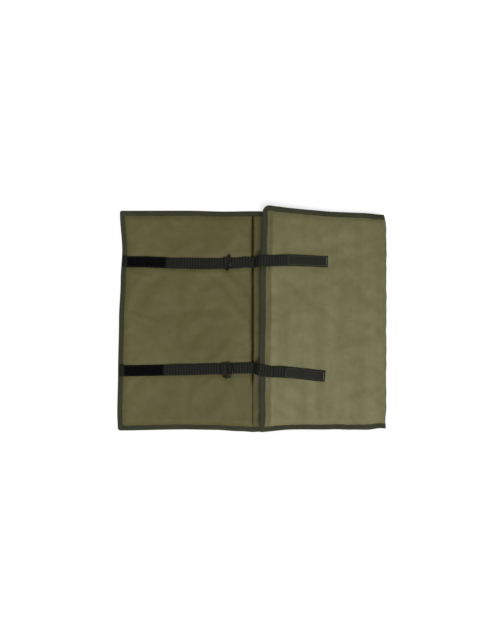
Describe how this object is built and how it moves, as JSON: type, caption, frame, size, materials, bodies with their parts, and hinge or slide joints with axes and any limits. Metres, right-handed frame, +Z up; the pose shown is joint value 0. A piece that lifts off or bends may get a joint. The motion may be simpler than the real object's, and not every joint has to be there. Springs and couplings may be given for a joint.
{
  "type": "unhooking mat",
  "caption": "Padded folding mat of foam panels in bound cloth, with webbing straps, D-rings and hook-and-loop patches, for resting a fish on while it is unhooked.",
  "frame": {"origin": "on the ground below the middle of the mat's outline as it lies, left panel open and flap folded over", "axes": "+X from the left panel to the fold of the flap, +Y north as seen from above, +Z up; the left panel folds about X = 0"},
  "size_m": [0.607, 0.498, 0.0456],
  "materials": {
    "foam_core": "closed-cell foam, matte",
    "inner_cloth": "coated woven polyester, olive",
    "outer_cloth": "coated woven polyester, lighter olive",
    "binding_tape": "folded dark green tape",
    "webbing": "ribbed black webbing",
    "loop_patch": "soft black loop pile",
    "hook_patch": "black hook tape",
    "d_ring": "dark plated wire, satin"
  },
  "bodies": {
    "middle": {"middle_foam_core": "foam_core", "middle_inner_skin": "inner_cloth", "middle_outer_skin": "outer_cloth", "middle_north_binding": "binding_tape", "middle_south_binding": "binding_tape", "left_fold_seam": "inner_cloth", "right_fold_skin": "outer_cloth"},
    "left": {"left_foam_core": "foam_core", "left_inner_skin": "inner_cloth", "left_outer_skin": "outer_cloth", "left_binding": "binding_tape", "upper_strap_base": "webbing", "upper_strap_loop_patch": "loop_patch", "lower_strap_base": "webbing", "lower_strap_loop_patch": "loop_patch"},
    "flap": {"flap_foam_core": "foam_core", "flap_inner_skin": "inner_cloth", "flap_outer_skin": "outer_cloth", "flap_binding": "binding_tape"},
    "upper_tail": {"upper_strap_tail": "webbing", "upper_strap_hook_patch": "hook_patch"},
    "lower_tail": {"lower_strap_tail": "webbing", "lower_strap_hook_patch": "hook_patch"},
    "upper_ring": {"upper_strap_d_ring": "d_ring"},
    "lower_ring": {"lower_strap_d_ring": "d_ring"}
  },
  "joints": [
    {"name": "left_fold", "type": "hinge", "parent": "middle", "child": "left", "pos_m": [0, 0, 0.0124], "axis": [0, 1, 0], "range_deg": [0, 105], "deforming": ["left_fold_seam"]},
    {"name": "flap_fold", "type": "hinge", "parent": "middle", "child": "flap", "pos_m": [0.302, 0, 0.0122], "axis": [0, 1, 0], "range_deg": [0, 174], "deforming": ["right_fold_skin", "upper_strap_tail", "upper_strap_hook_patch", "lower_strap_tail", "lower_strap_hook_patch"]},
    {"name": "upper_tail_lift", "type": "hinge", "parent": "middle", "child": "upper_tail", "pos_m": [0, 0.1315, 0.0124], "axis": [0, -1, 0], "range_deg": [0, 120]},
    {"name": "lower_tail_lift", "type": "hinge", "parent": "middle", "child": "lower_tail", "pos_m": [0, -0.108, 0.0124], "axis": [0, -1, 0], "range_deg": [0, 120]},
    {"name": "upper_ring_swing", "type": "hinge", "parent": "left", "child": "upper_ring", "pos_m": [-0.0575, 0.13196, 0.0143], "axis": [0, -1, 0], "range_deg": [-54, 112]},
    {"name": "lower_ring_swing", "type": "hinge", "parent": "left", "child": "lower_ring", "pos_m": [-0.063, -0.10964, 0.0143], "axis": [0, -1, 0], "range_deg": [-9, 157]}
  ]
}
